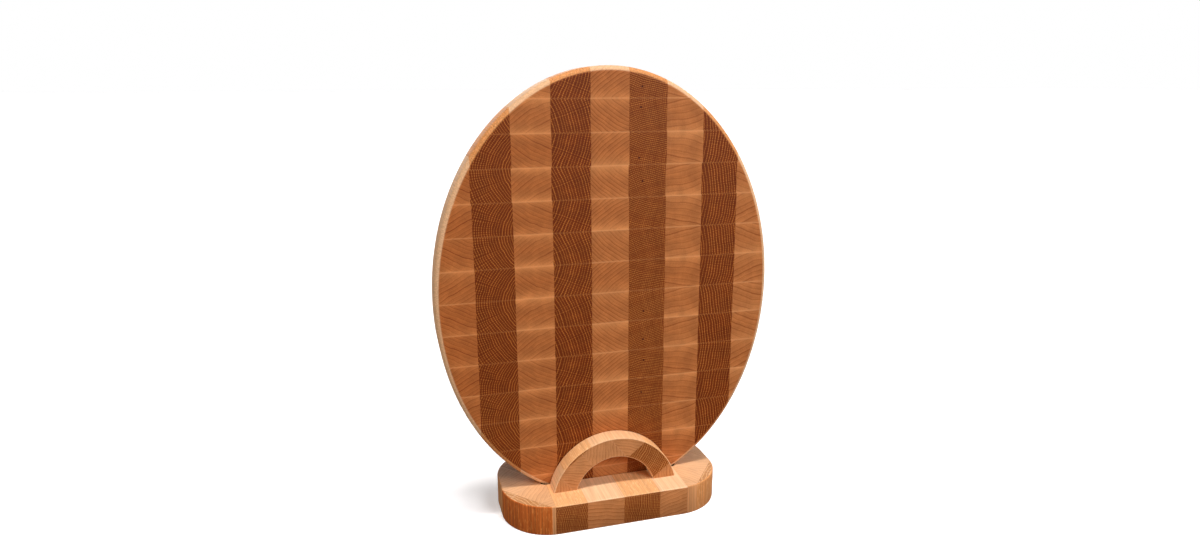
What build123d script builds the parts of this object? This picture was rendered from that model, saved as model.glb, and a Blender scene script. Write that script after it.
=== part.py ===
from build123d import *

import os
from math import ceil, cos, floor, radians, sin, sqrt

# Oval end-grain chopping block standing in its own arched stand.
# Millimetres. +Z is up, the front faces -Y, and the origin is on the table
# below the middle of the stand.

# The glued panel that every end-grain piece is cut from: strips side by side, rows on top
strip_width = 30.4
row_height = 25.0

# Board, its edges rounded over in three flats each
board_width = 274.0
board_height = 350.0
board_thickness = 25.0
board_edge_radius = 4.5
middle_flat_share = 0.73
outer_flat_share = 0.27
middle_joint_rise = 1.1
row_step = 0.6
row_step_shares = (0.2, 0.6, 0.3, 0.5, 0.7, 0.3, 0.3, 0.5, 0.1, -0.1, -1.0, 0.0, -0.6, -0.4)

# Stand base
base_length = 183.0
base_depth = 99.0
base_height = 24.5
base_corner_radius = 40.0
base_chamfer = 0.8
end_length = 36.3
core_joint_offset = 0.9

# Diagonal strips of the two end blocks, counted from the corner where the rear meets the core.
# They widen with the base's depth, so that the strips at both corners keep their place.
end_strip_share = 0.307070707
left_seam_inset = 9.7
left_seam_angle = 48.0
left_row_offset = 7.8
right_seam_inset = 7.5
right_seam_angle = 52.0
right_row_offset = -1.1

# Groove that the board stands in
board_sink = 17.0
groove_side_gap = 0.8
groove_end_gap = 0.4
groove_floor_gap = 0.3
groove_corner_radius = 4.0

# Arches: two circles whose centres lie a little below the base's top
arch_outer_radius = 53.6
arch_outer_drop = 12.9
arch_inner_radius = 33.9
arch_inner_drop = 9.6
arch_thickness = 15.5
arch_chamfer = 0.6
arch_strip_angle = 38.5
arch_seam_offset = 19.37
arch_row_offset = -3.25

# Dowels between the arches' feet and the base
dowel_diameter = 6.0
dowel_length = 26.0
dowel_depth = 14.0

# How far a cutting shape runs past what it cuts
overrun = 10.0

# Places that follow from the sizes above
core_width = base_length - 2 * end_length
end_strip_width = base_depth * end_strip_share
board_centre = base_height - board_sink + board_height / 2
sink_share = 1 - 2 * board_sink / board_height
groove_half_length = board_width / 2 * sqrt(1 - sink_share**2) + groove_end_gap
groove_half_width = board_thickness / 2 + groove_side_gap
groove_floor = base_height - board_sink - groove_floor_gap
arch_middle = groove_half_width + arch_thickness / 2
dowel_rise = (dowel_length - dowel_depth) / 2
foot_outside = sqrt(arch_outer_radius**2 - (arch_outer_drop + dowel_rise) ** 2)
foot_inside = sqrt(arch_inner_radius**2 - (arch_inner_drop + dowel_rise) ** 2)
dowel_from_middle = (foot_outside + foot_inside) / 2
rows_below = round((board_height / 2 + middle_joint_rise) / row_height)
rows_above = round((board_height / 2 - middle_joint_rise) / row_height)
columns_beside = round(board_width / 2 / strip_width - 1 / 2)
SPECIES = ("beech", "oak")

os.makedirs("parts", exist_ok=True)


def save(part, name):
    """Label a finished piece and write it."""
    part.label = name
    export_step(part, f"parts/{name}.step")


def save_glued_strips(blank, plane, depth, width, first_column, last_column, name):
    """Cut a blank into the blocks of a glued panel and write each strip of blocks.

    The panel lies on the plane: strips side by side along its x, rows along its y.
    The outer strips run on past the blank.
    """
    box = blank.bounding_box()
    corners = [
        plane.to_local_coords(Vector(x, y, z))
        for x in (box.min.X, box.max.X)
        for y in (box.min.Y, box.max.Y)
        for z in (box.min.Z, box.max.Z)
    ]
    leftmost = min(corner.X for corner in corners) - overrun
    rightmost = max(corner.X for corner in corners) + overrun
    first_row = floor(min(corner.Y for corner in corners) / row_height)
    last_row = ceil(max(corner.Y for corner in corners) / row_height)
    for column in range(first_column, last_column + 1):
        left = leftmost if column == first_column else column * width
        right = rightmost if column == last_column else (column + 1) * width
        blocks = []
        for row in range(first_row, last_row):
            with BuildPart() as cell:
                with BuildSketch(plane):
                    with Locations(((left + right) / 2, (row + 1 / 2) * row_height)):
                        Rectangle(right - left, row_height)
                extrude(amount=depth)
            block = blank & cell.part
            if block:
                blocks.extend(block.solids())
        number = column - first_column + 1
        save(Compound(children=blocks), f"{name}_{number}_{SPECIES[column % 2]}")


# The whole board as one disc
with BuildPart() as board_blank:
    with BuildSketch(Plane.XZ.offset(-board_thickness / 2)):
        with Locations((0, board_centre)):
            Ellipse(board_width / 2, board_height / 2)
    extrude(amount=board_thickness)
    rims = board_blank.edges().filter_by(GeomType.ELLIPSE)
    chamfer(rims, middle_flat_share * board_edge_radius)
    rims = board_blank.edges().filter_by(GeomType.BSPLINE)
    chamfer(rims, outer_flat_share * board_edge_radius)


def board_row(number, species):
    """Blocks of one species in one row of the board, counted from the bottom."""
    from_joint = number - rows_below
    bottom = board_centre + middle_joint_rise + from_joint * row_height
    top = bottom + row_height
    if number == 0:
        bottom = board_centre - board_height / 2 - overrun
    if number == rows_below + rows_above - 1:
        top = board_centre + board_height / 2 + overrun
    shift = row_step * row_step_shares[number % len(row_step_shares)]
    with BuildPart() as row:
        add(board_blank.part)
        with BuildSketch(Plane.XZ.offset(-board_thickness / 2)):
            for column in range(-columns_beside, columns_beside + 1):
                if SPECIES[column % 2] != species:
                    continue
                left = (column - 1 / 2) * strip_width + shift
                right = left + strip_width
                if column == -columns_beside:
                    left = -board_width / 2 - overrun
                if column == columns_beside:
                    right = board_width / 2 + overrun
                with Locations(((left + right) / 2, (bottom + top) / 2)):
                    Rectangle(right - left, top - bottom)
        extrude(amount=board_thickness, mode=Mode.INTERSECT)
    return row


for number in range(rows_below + rows_above):
    for species in SPECIES:
        row = board_row(number, species)
        save(row.part, f"board_row_{number + 1:02d}_{species}")

# Dowels, one up into each foot of the arches
with BuildPart() as dowels:
    with BuildSketch(Plane.XY.offset(base_height - dowel_depth)):
        with GridLocations(2 * dowel_from_middle, 2 * arch_middle, 2, 2):
            Circle(dowel_diameter / 2)
    extrude(amount=dowel_length)

save(dowels.part, "arch_dowels")

# The whole base: a long block with round ends, the board's groove and the dowel holes
with BuildPart() as base_blank:
    with BuildSketch():
        RectangleRounded(base_length, base_depth, base_corner_radius)
    extrude(amount=base_height)
    chamfer(base_blank.edges().group_by(Axis.Z)[-1], base_chamfer)
    chamfer(base_blank.edges().group_by(Axis.Z)[0], base_chamfer)
    with BuildSketch(Plane.XY.offset(groove_floor)):
        RectangleRounded(2 * groove_half_length, 2 * groove_half_width, groove_corner_radius)
    extrude(amount=base_height, mode=Mode.SUBTRACT)
    add(dowels.part, mode=Mode.SUBTRACT)

# Core of the base: four strips with their fibres running front to back
core_joints = (
    -core_width / 2,
    core_joint_offset - strip_width,
    core_joint_offset,
    core_joint_offset + strip_width,
    core_width / 2,
)
core_species = ("oak", "beech", "oak", "beech")


def core_strip(left, right):
    """One strip of the base between two glue joints."""
    with BuildPart() as strip:
        add(base_blank.part)
        with BuildSketch():
            with Locations(((left + right) / 2, 0)):
                Rectangle(right - left, base_depth + overrun)
        extrude(amount=base_height, mode=Mode.INTERSECT)
    return strip


for number, species in enumerate(core_species):
    strip = core_strip(core_joints[number], core_joints[number + 1])
    save(strip.part, f"core_strip_{number + 1}_{species}")


# End blocks: cut from the glued panel on the slant, fibres upright
def end_blank(side):
    """The part of the base beyond the core, on the left (-1) or the right (1)."""
    with BuildPart() as end:
        add(base_blank.part)
        with BuildSketch():
            with Locations((side * (core_width + base_length) / 2, 0)):
                Rectangle(base_length, base_depth + overrun)
        extrude(amount=base_height, mode=Mode.INTERSECT)
    return end


def end_panel(side, inset, angle, row_offset):
    """Plane of an end block's panel, its x running inwards across the slanted strips."""
    along = Vector(-side * cos(radians(angle)), -sin(radians(angle)), 0)
    across = Vector(-side * sin(radians(angle)), cos(radians(angle)), 0)
    seam_end = Vector(side * (core_width / 2 + inset), base_depth / 2, 0)
    return Plane(seam_end - along * row_offset, x_dir=across, z_dir=(0, 0, 1))


end_sides = (
    ("left", -1, left_seam_inset, left_seam_angle, left_row_offset),
    ("right", 1, right_seam_inset, right_seam_angle, right_row_offset),
)

for side_name, side, inset, angle, row_offset in end_sides:
    panel = end_panel(side, inset, angle, row_offset)
    blank = end_blank(side).part
    save_glued_strips(blank, panel, base_height, end_strip_width, -3, 0, f"{side_name}_end_strip")


# Arches: ring segments cut from the same panel on the slant, fibres front to back
def arch_blank(plane):
    """One whole arch, from its foot line up, with its dowel holes."""
    with BuildPart() as arch:
        with BuildSketch(plane):
            with Locations((0, base_height - arch_outer_drop)):
                Circle(arch_outer_radius)
            with Locations((0, base_height - arch_inner_drop)):
                Circle(arch_inner_radius, mode=Mode.SUBTRACT)
            with Locations((0, base_height)):
                Rectangle(
                    2 * arch_outer_radius + overrun,
                    2 * arch_outer_radius,
                    align=(Align.CENTER, Align.MAX),
                    mode=Mode.SUBTRACT,
                )
        extrude(amount=arch_thickness)
        chamfer(arch.edges().filter_by(GeomType.CIRCLE), arch_chamfer)
        add(dowels.part, mode=Mode.SUBTRACT)
    return arch


def arch_panel(plane):
    """Plane of an arch's panel, its strips rising to the right at the strip angle."""
    across = plane.x_dir * sin(radians(arch_strip_angle)) - plane.y_dir * cos(radians(arch_strip_angle))
    along = plane.x_dir * cos(radians(arch_strip_angle)) + plane.y_dir * sin(radians(arch_strip_angle))
    foot_middle = plane.origin + plane.y_dir * base_height
    corner = foot_middle + across * arch_seam_offset + along * arch_row_offset
    return Plane(corner, x_dir=across, z_dir=plane.z_dir)


arch_planes = (
    ("front", Plane.XZ.offset(groove_half_width)),
    ("rear", Plane(origin=(0, groove_half_width, 0), x_dir=(-1, 0, 0), z_dir=(0, 1, 0))),
)

for arch_name, plane in arch_planes:
    blank = arch_blank(plane).part
    panel = arch_panel(plane)
    save_glued_strips(blank, panel, arch_thickness, strip_width, -3, 0, f"{arch_name}_arch_strip")
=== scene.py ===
"""Oval end-grain chopping block in its arched stand: shapes, finishes, studio and camera.

The part's sizes are millimetres; the floor and the lights are placed in metres. Every block
is sawn from its blank in the same places as the solids.
"""

import logging
import math
import random
from collections.abc import Iterable, Iterator
from dataclasses import dataclass, field
from enum import Enum
from typing import ClassVar

import bmesh
import bpy
from bmesh.types import BMEdge, BMesh, BMFace, BMVert
from mathutils import Matrix, Quaternion, Vector

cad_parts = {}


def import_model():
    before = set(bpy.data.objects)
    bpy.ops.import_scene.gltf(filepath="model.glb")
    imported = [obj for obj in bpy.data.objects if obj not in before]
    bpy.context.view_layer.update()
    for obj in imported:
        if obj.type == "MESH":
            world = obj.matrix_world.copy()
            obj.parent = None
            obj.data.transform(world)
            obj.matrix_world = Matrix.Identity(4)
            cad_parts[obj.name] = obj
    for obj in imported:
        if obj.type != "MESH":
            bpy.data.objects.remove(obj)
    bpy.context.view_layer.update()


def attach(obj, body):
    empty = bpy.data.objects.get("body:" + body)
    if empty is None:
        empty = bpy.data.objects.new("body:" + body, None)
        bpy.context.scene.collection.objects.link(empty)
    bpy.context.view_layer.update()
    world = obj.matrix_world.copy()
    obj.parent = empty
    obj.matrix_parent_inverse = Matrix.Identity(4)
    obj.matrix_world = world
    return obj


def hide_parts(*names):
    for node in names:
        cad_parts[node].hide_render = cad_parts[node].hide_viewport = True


LOG = logging.getLogger("chopping_block")
MM = 0.001

# Millimetres that stand for no joint or knot near by
FAR = 1000.0

# Metres within which a saw cut keeps to a vertex
SNAP = 1e-7

# Cosine above which a face counts as square to an axis, and the bend of a sharp edge
FLAT = 0.999
SHARP = math.radians(60)

# How far one slice of a plank differs from the next
DRIFT_ACROSS = 3.0
DRIFT_UP = 4.0
SLICE_DEPTHS = (0.975, 1.025)
SLICE_PALENESS = (0.35, 1.0)

RIGHT = Vector((1, 0, 0)).freeze()
BACK = Vector((0, 1, 0)).freeze()
UP = Vector((0, 0, 1)).freeze()

Socket = bpy.types.NodeSocket
Value = Socket | float | tuple[float, ...]
Colour = tuple[float, float, float, float]


class Species(Enum):
    """The two woods, named as the record's material slots."""

    BEECH = "beech"
    OAK = "oak"

    @classmethod
    def of_column(cls, column: int) -> "Species":
        """Wood of a panel's strip: even strips are beech, odd ones oak."""
        return cls.BEECH if column % 2 == 0 else cls.OAK


class PaleSide(Enum):
    """Which row joint a plank's paler outer wood lies along."""

    LOWER = "lower"
    UPPER = "upper"
    BOTH = "both"
    NONE = "none"

    @property
    def other_share(self) -> float:
        """How pale the other joint is, from 0 to 1; -1 where neither joint is pale."""
        return {PaleSide.BOTH: 1.0, PaleSide.NONE: -1.0}.get(self, 0.35)


# Sawing and mesh helpers


@dataclass(frozen=True)
class Cut:
    """One saw cut: what lies beyond the plane, on its outward side, falls away."""

    point: Vector
    outward: Vector


def saw(blank: BMesh, cuts: Iterable[Cut]) -> BMesh:
    """Copy a blank and cut the copy down.

    Args:
        blank: Closed mesh, left as it is.
        cuts: Saw cuts, made one after the other.

    Returns:
        The closed remainder, empty where nothing is left.
    """
    block = blank.copy()
    for cut in cuts:
        result = bmesh.ops.bisect_plane(
            block,
            geom=block.verts[:] + block.edges[:] + block.faces[:],
            dist=SNAP,
            plane_co=cut.point,
            plane_no=cut.outward,
            clear_outer=True,
        )
        open_edges = [
            item for item in result["geom_cut"] if isinstance(item, BMEdge) and item.is_boundary
        ]
        if open_edges:
            sawn = bmesh.ops.edgeloop_fill(block, edges=open_edges)["faces"]
            for item in [*sawn, *border(sawn)]:
                item.smooth = False
    return block


def round_over(blank: BMesh, edges: Iterable[BMEdge], radius: float, segments: int) -> None:
    """Round edges of a blank.

    Args:
        blank: Mesh that is changed.
        edges: Edges to round.
        radius: Radius of the round in millimetres.
        segments: Number of facets across the round.
    """
    bmesh.ops.bevel(
        blank,
        geom=list(edges),
        offset=radius * MM,
        offset_type="OFFSET",
        affect="EDGES",
        segments=segments,
        profile=0.5,
        material=-1,
        clamp_overlap=True,
    )


def extrude(mesh: BMesh, faces: Iterable[BMFace], way: Vector) -> list[BMVert]:
    """Extrude faces and move the new ones.

    Args:
        mesh: Mesh that is changed.
        faces: Faces to extrude.
        way: Where the new faces go, in metres.

    Returns:
        The vertices that were moved.
    """
    raised = bmesh.ops.extrude_face_region(mesh, geom=list(faces))["geom"]
    verts = [item for item in raised if isinstance(item, BMVert)]
    bmesh.ops.translate(mesh, verts=verts, vec=way)
    return verts


def face_outwards(mesh: BMesh) -> None:
    """Turn every face of a closed mesh outwards."""
    bmesh.ops.recalc_face_normals(mesh, faces=mesh.faces)


def shade(blank: BMesh, flat_axis: Vector) -> None:
    """Smooth the curved faces of a blank and leave the faces square to an axis flat.

    Args:
        blank: Closed mesh that is changed.
        flat_axis: Direction that the flat faces are square to.
    """
    face_outwards(blank)
    for face in blank.faces:
        face.smooth = abs(face.normal.dot(flat_axis)) < FLAT


def border(faces: Iterable[BMFace]) -> list[BMEdge]:
    """All edges of some faces, each once and in the same order every time."""
    return list(dict.fromkeys(edge for face in faces for edge in face.edges))


def many_sided(mesh: BMesh) -> list[BMFace]:
    """Faces with more than four corners: the two ends of a round or an oval."""
    return [face for face in mesh.faces if len(face.verts) > 4]


def is_upright(edge: BMEdge) -> bool:
    """Whether the ends of an edge lie at different heights."""
    return abs(edge.verts[0].co.z - edge.verts[1].co.z) > MM


# The glued panel


@dataclass(frozen=True)
class Plank:
    """One plank of the glued panel, seen on its end grain in an unturned row.

    Attributes:
        pith: Place of the tree's middle from the middle of the block.
        spacing: Mean width of a year's growth.
        wobble: How far the rings wander from true circles.
        depth: How deep the oiled end grain's colour is; 1 is as written, less is paler.
        side_depth: The same for its side grain.
        pale: Side with the paler outer wood.
    """

    pith: tuple[float, float]
    spacing: float
    wobble: float = 1.0
    depth: float = 1.0
    side_depth: float = 1.0
    pale: PaleSide = PaleSide.LOWER


@dataclass(frozen=True)
class EndGrain:
    """Place and directions of a panel's end grain."""

    origin: Vector
    right: Vector
    up: Vector

    @property
    def fibre(self) -> Vector:
        """Direction of the fibres, square to the end grain."""
        return self.right.cross(self.up)

    def place(self, point: Vector) -> tuple[float, float, float]:
        """Millimetres across, up and along the fibres of a point."""
        away = (point - self.origin) / MM
        return away.dot(self.right), away.dot(self.up), away.dot(self.fibre)

    def point(self, across: float, rise: float) -> Vector:
        """Point of the end grain at millimetres across and up."""
        return self.origin + (self.right * across + self.up * rise) * MM


def drift(luck: random.Random) -> tuple[float, float]:
    """How far a slice's pith lies from where its plank has it."""
    return luck.uniform(-DRIFT_ACROSS, DRIFT_ACROSS), luck.uniform(-DRIFT_UP, DRIFT_UP)


@dataclass(frozen=True)
class Block:
    """One block of a panel between its glue joints.

    Attributes:
        middle: Place of its middle on the panel.
        plank: The plank that it is a slice of.
        left: Place of its left joint, None where it has none.
        right: The same for its right joint.
        bottom: The same for its lower joint.
        top: The same for its upper joint.
        turned: Whether its row is turned over.
        seed: Start of its plank's noise.
        drift: Shift of its pith from the plank's.
        depth: Factor on the depth of the plank's colours.
        pale_share: How much of the paler outer wood it has.
        knot: Place of a small knot from its middle.
    """

    middle: tuple[float, float]
    plank: Plank
    left: float | None = None
    right: float | None = None
    bottom: float | None = None
    top: float | None = None
    turned: bool = False
    seed: float = 0.0
    drift: tuple[float, float] = (0.0, 0.0)
    depth: float = 1.0
    pale_share: float = 1.0
    knot: tuple[float, float] = (FAR, FAR)

    LAYERS: ClassVar[tuple[str, ...]] = (
        "grain", "growth", "block", "row_joints", "seams", "fibre", "knot_and_pale",
    )

    @classmethod
    def empty_mesh(cls) -> BMesh:
        """Start a mesh with the layers that mark fills.

        Returns:
            The empty mesh.
        """
        mesh = bmesh.new()
        for name in cls.LAYERS:
            mesh.verts.layers.float_vector.new(name)
        return mesh

    def cuts(self, grain: EndGrain) -> Iterator[Cut]:
        """Saw cuts that free the block from its blank.

        Args:
            grain: Place and directions of its panel.

        Yields:
            A cut for each joint.
        """
        for across, way in ((self.left, -grain.right), (self.right, grain.right)):
            if across is not None:
                yield Cut(grain.point(across, 0), way)
        for rise, way in ((self.bottom, -grain.up), (self.top, grain.up)):
            if rise is not None:
                yield Cut(grain.point(0, rise), way)

    def mark(self, mesh: BMesh, verts: Iterable[BMVert], grain: EndGrain) -> None:
        """Write the places that the finishes read on a block's vertices.

        Args:
            mesh: Mesh that holds the block.
            verts: The block's vertices.
            grain: Place and directions of its panel.
        """
        layer = {name: mesh.verts.layers.float_vector[name] for name in self.LAYERS}
        pith = Vector(self.plank.pith) + Vector(self.drift)
        flip = -1.0 if self.turned else 1.0
        growth = Vector((self.plank.spacing, self.plank.wobble, self.seed))
        facing = math.atan2(-pith.y, -pith.x)
        facts = Vector((self.plank.depth * self.depth, pith.length, facing))
        side_depth = self.plank.side_depth * self.depth
        pale_low = (self.plank.pale is not PaleSide.UPPER) != self.turned
        for vert in verts:
            across, rise, along = grain.place(vert.co)
            right, up = across - self.middle[0], flip * (rise - self.middle[1])
            below = FAR if self.bottom is None else rise - self.bottom
            above = FAR if self.top is None else self.top - rise
            pale, other = (below, above) if pale_low else (above, below)
            to_left = FAR if self.left is None else across - self.left
            to_right = FAR if self.right is None else self.right - across
            vert[layer["grain"]] = Vector((right - pith.x, up - pith.y, along))
            vert[layer["growth"]] = growth
            vert[layer["block"]] = facts
            vert[layer["row_joints"]] = Vector((pale, other, self.plank.pale.other_share))
            vert[layer["seams"]] = Vector((to_left, to_right, side_depth))
            vert[layer["fibre"]] = grain.fibre
            knot = Vector((right - self.knot[0], up - self.knot[1], self.pale_share))
            vert[layer["knot_and_pale"]] = knot


@dataclass
class Joinery:
    """Makes named pieces from sawn blocks and hands them to the frame.

    Attributes:
        body: Body of the frame that the pieces ride on.
        materials: Finish of each wood.
    """

    body: str
    materials: dict[Species, bpy.types.Material]

    def piece(
        self, node: str, species: Species, blank: BMesh, grain: EndGrain, blocks: Iterable[Block]
    ) -> None:
        """Saw blocks from a blank and join them into the piece that stands for a node.

        Args:
            node: Name of the solid that the piece stands for.
            species: Its wood.
            blank: Mesh that the blocks are sawn from.
            grain: Place and directions of the blocks' panel.
            blocks: The blocks; those that miss the blank are left out.
        """
        joined = Block.empty_mesh()
        carrier = bpy.data.meshes.new(f"{node}_carrier")
        count = 0
        for block in blocks:
            sawn = saw(blank, block.cuts(grain))
            if sawn.faces:
                before = len(joined.verts)
                sawn.to_mesh(carrier)
                joined.from_mesh(carrier)
                joined.verts.ensure_lookup_table()
                block.mark(joined, joined.verts[before:], grain)
                count += 1
            sawn.free()
        bpy.data.meshes.remove(carrier)
        face_outwards(joined)
        self.hand_over(node, species, joined, count)

    def hand_over(self, node: str, species: Species, mesh: BMesh, count: int) -> None:
        """Turn a finished mesh into the object that stands for a node.

        Args:
            node: Name of the solid that the piece stands for.
            species: Its wood.
            mesh: The finished mesh, which is freed.
            count: Number of blocks in it.
        """
        data = bpy.data.meshes.new(f"{node}_wood")
        mesh.to_mesh(data)
        mesh.free()
        data.materials.append(self.materials[species])
        piece = bpy.data.objects.new(f"{node}_wood", data)
        bpy.context.scene.collection.objects.link(piece)
        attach(piece, self.body)
        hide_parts(node)
        LOG.info("%s: %d blocks, %d faces", piece.name, count, len(data.polygons))


# Board


@dataclass
class Board:
    """The oval board: rows of end-grain blocks, turned over from row to row.

    Attributes:
        support: Width of the narrow faces beside the rounded edge, which keep it smooth.
        joint_rise: Height of the middle row joint above the centre.
        row_step: Largest sideways step of a row.
        row_step_shares: Step of each row from the bottom, as a share of that.
        turned: Which rows are turned over, from the bottom.
        planks: Planks of the panel, counted from the middle.
        knots: Small knots of one strip by row, from the board's middle and the row's foot.
    """

    width: float = 274.0
    height: float = 350.0
    thickness: float = 25.0
    centre: float = 182.5
    edge_radius: float = 4.5
    edge_facets: int = 8
    rim_segments: int = 288
    support: float = 0.35
    strip_width: float = 30.4
    row_height: float = 25.0
    joint_rise: float = 1.1
    row_step: float = 0.6
    row_step_shares: tuple[float, ...] = (
        0.2, 0.6, 0.3, 0.5, 0.7, 0.3, 0.3, 0.5, 0.1, -0.1, -1.0, 0.0, -0.6, -0.4,
    )
    turned: tuple[bool, ...] = (
        False, True, False, True, True, False, False, True, False, True, False, True, False, True,
    )
    seed_step: float = 10.0
    planks: dict[int, Plank] = field(
        default_factory=lambda: {
            -4: Plank((40.0, 70.0), 3.0, 1.2, 1.04),
            -3: Plank((30.0, 12.0), 1.9, 1.3, 1.0, 1.35),
            -2: Plank((40.0, -75.0), 2.8, 1.2, 1.0, pale=PaleSide.BOTH),
            -1: Plank((-82.0, -27.0), 2.25, 0.8, 1.0, 1.35),
            0: Plank((45.0, 58.0), 2.6, 0.8, 0.95, pale=PaleSide.UPPER),
            1: Plank((31.0, -116.0), 1.4, 0.6, 0.9, 1.35),
            2: Plank((-20.0, 90.0), 4.6, 1.2, 0.95),
            3: Plank((-140.0, -25.0), 2.3, 1.0, 1.0, 1.35),
            4: Plank((20.0, 60.0), 4.2, 1.2, 0.93),
        }
    )
    knot_column: int = 1
    knots: dict[int, tuple[float, float]] = field(
        default_factory=lambda: {
            13: (25.0, 16.6),
            12: (24.0, 18.4),
            11: (23.0, 19.6),
            10: (26.0, 12.4),
            6: (28.0, 7.4),
            5: (28.0, 8.4),
            4: (28.6, 9.6),
            3: (27.0, 12.6),
        }
    )

    def blank(self) -> BMesh:
        """Make the whole oval, its edges rounded over.

        Returns:
            The closed mesh.
        """
        blank = bmesh.new()
        outline = (
            Matrix.Translation((0, -self.thickness / 2 * MM, self.centre * MM))
            @ Matrix.Rotation(math.pi / 2, 4, "X")
            @ Matrix.Diagonal((self.width / 2 * MM, self.height / 2 * MM, 1, 1))
        )
        bmesh.ops.create_circle(
            blank, cap_ends=True, segments=self.rim_segments, radius=1, matrix=outline
        )
        extrude(blank, blank.faces, BACK * (self.thickness * MM))
        face_outwards(blank)
        round_over(blank, border(many_sided(blank)), self.edge_radius, self.edge_facets)
        bmesh.ops.inset_individual(blank, faces=many_sided(blank), thickness=self.support * MM)
        face_outwards(blank)
        for face in blank.faces:
            face.smooth = len(face.verts) == 4
        return blank

    def knot(self, row: int, column: int) -> tuple[float, float]:
        """Find the knot of a block.

        Args:
            row: Its row from the bottom.
            column: Its strip from the middle.

        Returns:
            The knot's place from the block's middle, far away where it has none.
        """
        if column != self.knot_column or row not in self.knots:
            return FAR, FAR
        across, rise = self.knots[row]
        return across - column * self.strip_width, rise - self.row_height / 2

    def rows(self, species: Species) -> Iterator[tuple[int, list[Block]]]:
        """Lay out the blocks of one wood, row by row from the bottom.

        Args:
            species: The wood.

        Yields:
            Each row's number and its blocks.
        """
        luck = random.Random(species.value)
        count = len(self.row_step_shares)
        first, last = min(self.planks), max(self.planks)
        for row in range(count):
            bottom = self.centre + self.joint_rise + (row - count // 2) * self.row_height
            shift = self.row_step * self.row_step_shares[row]
            blocks = []
            for column, plank in self.planks.items():
                if Species.of_column(column) is not species:
                    continue
                left = (column - 0.5) * self.strip_width + shift
                blocks.append(
                    Block(
                        middle=(column * self.strip_width, bottom + self.row_height / 2),
                        plank=plank,
                        left=None if column == first else left,
                        right=None if column == last else left + self.strip_width,
                        bottom=None if row == 0 else bottom,
                        top=None if row == count - 1 else bottom + self.row_height,
                        turned=self.turned[row],
                        seed=self.seed_step * column,
                        drift=drift(luck),
                        depth=luck.uniform(*SLICE_DEPTHS),
                        pale_share=luck.uniform(*SLICE_PALENESS),
                        knot=self.knot(row, column),
                    )
                )
            yield row, blocks

    def build(self, joinery: Joinery) -> None:
        """Make every row of the board in both woods.

        Args:
            joinery: Maker of the board's pieces.
        """
        grain = EndGrain(Vector(), RIGHT, UP)
        blank = self.blank()
        for species in Species:
            for row, blocks in self.rows(species):
                node = f"board_row_{row + 1:02d}_{species.value}"
                joinery.piece(node, species, blank, grain, blocks)
        blank.free()


# Stand


@dataclass
class Panel:
    """A glued panel that slanted offcuts are sawn from, its strips numbered -3 to 0.

    Attributes:
        grain: Place and directions of its end grain.
        name: Start of its nodes' names.
        planks: Its planks, one for each strip.
        rows: Rows that can meet the blank; every second one is turned over.
    """

    grain: EndGrain
    name: str
    planks: dict[int, Plank]
    strip_width: float = 30.4
    row_height: float = 25.0
    rows: range = range(-6, 7)
    seed_step: float = 10.0
    seed_start: float = 5.0

    def build(self, blank: BMesh, joinery: Joinery) -> None:
        """Saw every strip of the panel from a blank.

        Args:
            blank: Closed mesh, left as it is.
            joinery: Maker of the stand's pieces.
        """
        luck = random.Random(self.name)
        first, last = min(self.planks), max(self.planks)
        for number, (column, plank) in enumerate(self.planks.items(), start=1):
            left = column * self.strip_width
            blocks = [
                Block(
                    middle=(left + self.strip_width / 2, (row + 0.5) * self.row_height),
                    plank=plank,
                    left=None if column == first else left,
                    right=None if column == last else left + self.strip_width,
                    bottom=row * self.row_height,
                    top=(row + 1) * self.row_height,
                    turned=row % 2 == 0,
                    seed=self.seed_step * column + self.seed_start,
                    drift=drift(luck),
                    depth=luck.uniform(*SLICE_DEPTHS),
                )
                for row in self.rows
            ]
            species = Species.of_column(column)
            node = f"{self.name}_strip_{number}_{species.value}"
            joinery.piece(node, species, blank, self.grain, blocks)


@dataclass(frozen=True)
class SlantedEnd:
    """One end of the base, an offcut of the panel.

    Attributes:
        name: Start of its nodes' names.
        side: -1 for the left end, 1 for the right.
        inset: Distance from the core to the first slanted seam along the rear.
        angle: Slant of the seams in degrees.
        row_offset: Distance of the first row joint along the seam.
        side_depths: Depth of the side grain of its first three strips, from the corner.
    """

    name: str
    side: int
    inset: float
    angle: float
    row_offset: float
    side_depths: tuple[float, float, float]

    def planks(self) -> dict[int, Plank]:
        """Choose the end's planks.

        Returns:
            Its planks by strip.
        """
        corner, wide, narrow = self.side_depths
        return {
            -3: Plank((-60.0, 20.0), 2.4, 1.6, 0.45, corner),
            -2: Plank((20.0, -80.0), 3.2, 1.4, 0.5, wide, PaleSide.NONE),
            -1: Plank((-70.0, -12.0), 2.4, 1.4, 0.5, narrow),
            0: Plank((30.0, 60.0), 2.8, 1.2, 0.5, pale=PaleSide.NONE),
        }


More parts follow.
